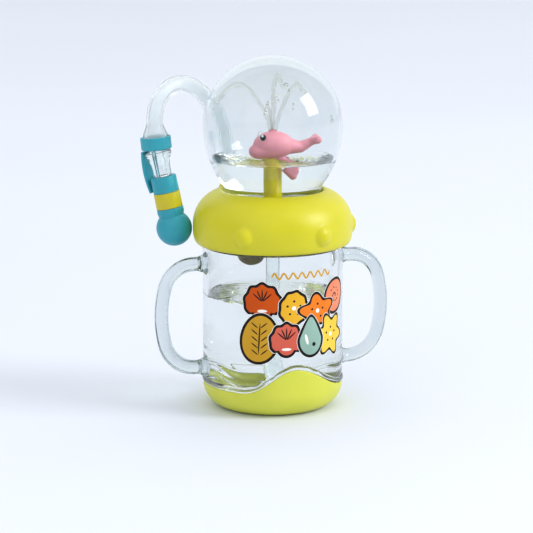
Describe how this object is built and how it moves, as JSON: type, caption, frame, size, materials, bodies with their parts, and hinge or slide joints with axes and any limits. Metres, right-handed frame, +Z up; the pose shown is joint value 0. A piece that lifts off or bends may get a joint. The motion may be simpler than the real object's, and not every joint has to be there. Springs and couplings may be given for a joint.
{
  "type": "toddler straw cup",
  "caption": "Clear two-handled toddler cup with a silicone boot, a screw lid, a whale fountain under a clear dome and an arched straw with a tethered ball cap.",
  "frame": {"origin": "centre of the boot's flat underside", "axes": "+Z up through the dome, +X and -X along the two handles, -Y towards the printed side"},
  "size_m": [0.1328, 0.087, 0.1887],
  "materials": {
    "clear_copolyester": "clear, glossy",
    "clear_dome": "clear, glossy",
    "clear_fitting": "clear, glossy",
    "clear_silicone": "milky, satin",
    "white_silicone": "matte",
    "lime_silicone": "soft satin",
    "lime_plastic": "fine satin",
    "lime_gloss": "glossy",
    "pink_plastic": "soft satin",
    "eye_plastic": "glossy",
    "olive_plastic": "satin",
    "teal_silicone": "soft satin",
    "yellow_silicone": "soft satin"
  },
  "bodies": {
    "cup": {"cup_body": "clear_copolyester", "handle_left": "clear_copolyester", "handle_right": "clear_copolyester", "base_boot": "lime_silicone"},
    "gasket": {"lid_gasket": "white_silicone"},
    "lid": {"lid_collar": "lime_plastic", "lid_core": "lime_plastic", "straw_connector": "clear_fitting", "dome_seal": "white_silicone", "fountain_post": "lime_gloss", "whale_body": "pink_plastic", "whale_eyes": "eye_plastic", "blowhole_nozzle": "pink_plastic", "dip_tube": "clear_fitting", "dip_tube_grommet": "white_silicone", "vent_housing": "olive_plastic", "vent_valve": "white_silicone"},
    "dome": {"dome": "clear_dome"},
    "straw": {"straw_tube": "clear_silicone", "mouthpiece": "clear_fitting", "cap_ring": "teal_silicone", "cap_strap": "teal_silicone"},
    "cap": {"cap_body": "teal_silicone", "cap_band": "yellow_silicone"}
  },
  "joints": [
    {"name": "lid_lift", "type": "slide", "parent": "cup", "child": "gasket", "axis": [0, 0, 1], "range_m": [0, 0.12]},
    {"name": "lid_turn", "type": "hinge", "parent": "gasket", "child": "lid", "pos_m": [0, 0, 0.1], "axis": [0, 0, 1], "range_deg": [0, 1800]},
    {"name": "dome_lift", "type": "slide", "parent": "lid", "child": "dome", "axis": [0, 0, 1], "range_m": [0, 0.055]},
    {"name": "straw_swivel", "type": "hinge", "parent": "lid", "child": "straw", "pos_m": [-0.01232, 0.03333, 0.112], "axis": [0, 0, 1], "range_deg": [-40, 0]},
    {"name": "cap_pull", "type": "slide", "parent": "straw", "child": "cap", "axis": [0.1885, -0.0649, -0.9799], "range_m": [0, 0.012], "deforming": ["cap_strap"]}
  ],
  "couplings": [
    {"joint": "lid_lift", "follows": "lid_turn", "m_per_rad": 0.0038197}
  ]
}
